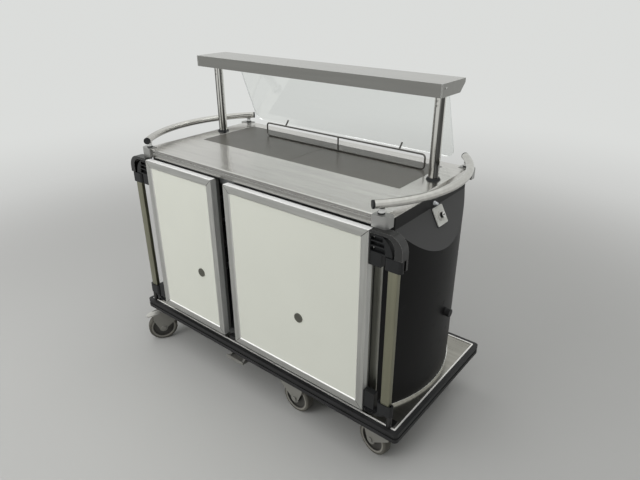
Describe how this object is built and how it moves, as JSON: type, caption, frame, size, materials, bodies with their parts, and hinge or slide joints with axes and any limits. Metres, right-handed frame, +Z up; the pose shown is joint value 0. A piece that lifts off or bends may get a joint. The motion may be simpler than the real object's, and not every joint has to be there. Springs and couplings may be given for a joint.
{
  "type": "buffet trolley",
  "caption": "Mobile buffet trolley with heated counter, canopy on round posts, clear guard, curved end panels, hand rails, bumper, swivel casters and wrap-around hinged doors.",
  "frame": {"origin": "on the floor, under the middle of the base tray", "axes": "+X along the length to the right end with the switch, -Y towards the doors, +Z up"},
  "size_m": [1.294, 0.6782, 1.2095],
  "materials": {
    "stainless": "brushed stainless steel",
    "polished_steel": "polished stainless steel",
    "galvanised": "zinc plated steel",
    "cabinet_skin": "insulated sandwich wall with a satin grey skin",
    "aluminium": "satin anodised aluminium",
    "champagne": "satin anodised aluminium, warm tone",
    "infill": "pale greenish white laminate",
    "charcoal": "charcoal satin laminate",
    "hotplate": "dark semi-gloss coating",
    "heater": "silicone heater mat",
    "black_plastic": "black moulded plastic",
    "black_rubber": "black rubber",
    "wheel": "grey tread on a grey plastic hub",
    "pedal": "pale grey plastic",
    "clear_sheet": "clear toughened sheet",
    "lamp": "quartz heat lamp",
    "white_plastic": "white translucent plastic"
  },
  "bodies": {
    "trolley": {"base_tray": "stainless", "bumper": "black_rubber", "cabinet_body": "cabinet_skin", "canopy_end_caps": "stainless", "canopy_shell": "stainless", "caster_plates": "galvanised", "chassis_frame": "galvanised", "corner_blocks": "stainless", "corner_profiles": "aluminium", "counter_top": "stainless", "door_stops": "black_rubber", "end_panel_left": "charcoal", "end_panel_right": "charcoal", "guard_brackets": "stainless", "guard_sheet": "clear_sheet", "hand_rails": "polished_steel", "heat_lamps": "lamp", "heater_mats": "heater", "hinge_brackets": "aluminium", "hotplates": "hotplate", "panel_trims": "stainless", "partition": "cabinet_skin", "pilot_lamp": "white_plastic", "post_flanges": "black_plastic", "posts": "polished_steel", "rack_uprights": "stainless", "rail_end_caps": "black_plastic", "reflector": "stainless", "switch_plate": "pedal", "tray_runners": "stainless", "wire_guard": "polished_steel"},
    "front_left_swivel": {"front_left_fork": "galvanised"},
    "front_left_roll": {"front_left_wheel": "wheel"},
    "front_mid_swivel": {"front_mid_fork": "galvanised"},
    "front_mid_roll": {"front_mid_wheel": "wheel"},
    "front_right_swivel": {"front_right_fork": "galvanised"},
    "front_right_roll": {"front_right_wheel": "wheel"},
    "rear_left_swivel": {"rear_left_fork": "galvanised"},
    "rear_left_roll": {"rear_left_wheel": "wheel"},
    "rear_mid_swivel": {"rear_mid_fork": "galvanised"},
    "rear_mid_roll": {"rear_mid_wheel": "wheel"},
    "rear_right_swivel": {"rear_right_fork": "galvanised"},
    "rear_right_roll": {"rear_right_wheel": "wheel"},
    "front_left_brake": {"front_left_brake_pedal": "pedal"},
    "foot_pedal": {"foot_pedal": "galvanised"},
    "right_link": {"right_link_bar": "champagne", "right_link_caps": "black_plastic"},
    "right_door": {"right_door_frame": "aluminium", "right_door_infill": "infill", "right_door_gasket": "black_rubber", "right_door_strike": "aluminium", "right_hinge_housings": "black_plastic"},
    "left_link": {"left_link_bar": "champagne", "left_link_caps": "black_plastic"},
    "left_door": {"left_door_frame": "aluminium", "left_door_infill": "infill", "left_door_gasket": "black_rubber", "left_door_strike": "aluminium", "left_hinge_housings": "black_plastic"},
    "switch_key": {"switch_key": "polished_steel"}
  },
  "joints": [
    {"name": "front_left_swivel_turn", "type": "hinge", "parent": "trolley", "child": "front_left_swivel", "pos_m": [-0.572, -0.238, 0.141], "axis": [0, 0, 1], "continuous": true},
    {"name": "front_left_wheel_spin", "type": "hinge", "parent": "front_left_swivel", "child": "front_left_roll", "pos_m": [-0.596, -0.27957, 0.0625], "axis": [0.866, -0.5, 0], "continuous": true},
    {"name": "front_mid_swivel_turn", "type": "hinge", "parent": "trolley", "child": "front_mid_swivel", "pos_m": [0.139, -0.238, 0.141], "axis": [0, 0, 1], "continuous": true},
    {"name": "front_mid_wheel_spin", "type": "hinge", "parent": "front_mid_swivel", "child": "front_mid_roll", "pos_m": [0.18695, -0.24009, 0.0625], "axis": [0.0436, 0.999, 0], "continuous": true},
    {"name": "front_right_swivel_turn", "type": "hinge", "parent": "trolley", "child": "front_right_swivel", "pos_m": [0.572, -0.238, 0.141], "axis": [0, 0, 1], "continuous": true},
    {"name": "front_right_wheel_spin", "type": "hinge", "parent": "front_right_swivel", "child": "front_right_roll", "pos_m": [0.52498, -0.22835, 0.0625], "axis": [-0.2011, -0.9796, 0], "continuous": true},
    {"name": "rear_left_swivel_turn", "type": "hinge", "parent": "trolley", "child": "rear_left_swivel", "pos_m": [-0.572, 0.238, 0.141], "axis": [0, 0, 1], "continuous": true},
    {"name": "rear_left_wheel_spin", "type": "hinge", "parent": "rear_left_swivel", "child": "rear_left_roll", "pos_m": [-0.596, 0.27957, 0.0625], "axis": [-0.866, -0.5, 0], "continuous": true},
    {"name": "rear_mid_swivel_turn", "type": "hinge", "parent": "trolley", "child": "rear_mid_swivel", "pos_m": [0.139, 0.238, 0.141], "axis": [0, 0, 1], "continuous": true},
    {"name": "rear_mid_wheel_spin", "type": "hinge", "parent": "rear_mid_swivel", "child": "rear_mid_roll", "pos_m": [0.18057, 0.262, 0.0625], "axis": [-0.5, 0.866, 0], "continuous": true},
    {"name": "rear_right_swivel_turn", "type": "hinge", "parent": "trolley", "child": "rear_right_swivel", "pos_m": [0.572, 0.238, 0.141], "axis": [0, 0, 1], "continuous": true},
    {"name": "rear_right_wheel_spin", "type": "hinge", "parent": "rear_right_swivel", "child": "rear_right_roll", "pos_m": [0.5269, 0.25442, 0.0625], "axis": [-0.342, -0.9397, 0], "continuous": true},
    {"name": "front_left_brake_press", "type": "hinge", "parent": "front_left_swivel", "child": "front_left_brake", "pos_m": [-0.594, -0.2761, 0.1327], "axis": [0.866, -0.5, 0], "range_deg": [0, 8]},
    {"name": "foot_pedal_tilt", "type": "hinge", "parent": "trolley", "child": "foot_pedal", "pos_m": [-0.099, -0.238, 0.147], "axis": [1, 0, 0], "range_deg": [-12, 12]},
    {"name": "right_link_swing", "type": "hinge", "parent": "trolley", "child": "right_link", "pos_m": [0.6074, -0.286, 0.52], "axis": [0, 0, 1], "range_deg": [0, 180]},
    {"name": "right_door_swing", "type": "hinge", "parent": "right_link", "child": "right_door", "pos_m": [0.57379, -0.286, 0.52], "axis": [0, 0, 1], "range_deg": [0, 90]},
    {"name": "left_link_swing", "type": "hinge", "parent": "trolley", "child": "left_link", "pos_m": [-0.6074, -0.286, 0.52], "axis": [0, 0, -1], "range_deg": [0, 180]},
    {"name": "left_door_swing", "type": "hinge", "parent": "left_link", "child": "left_door", "pos_m": [-0.57379, -0.286, 0.52], "axis": [0, 0, -1], "range_deg": [0, 90]},
    {"name": "switch_key_turn", "type": "hinge", "parent": "trolley", "child": "switch_key", "pos_m": [0.5625, 0.015, 0.8145], "axis": [0.8852, 0, 0.4651], "range_deg": [0, 90]}
  ]
}
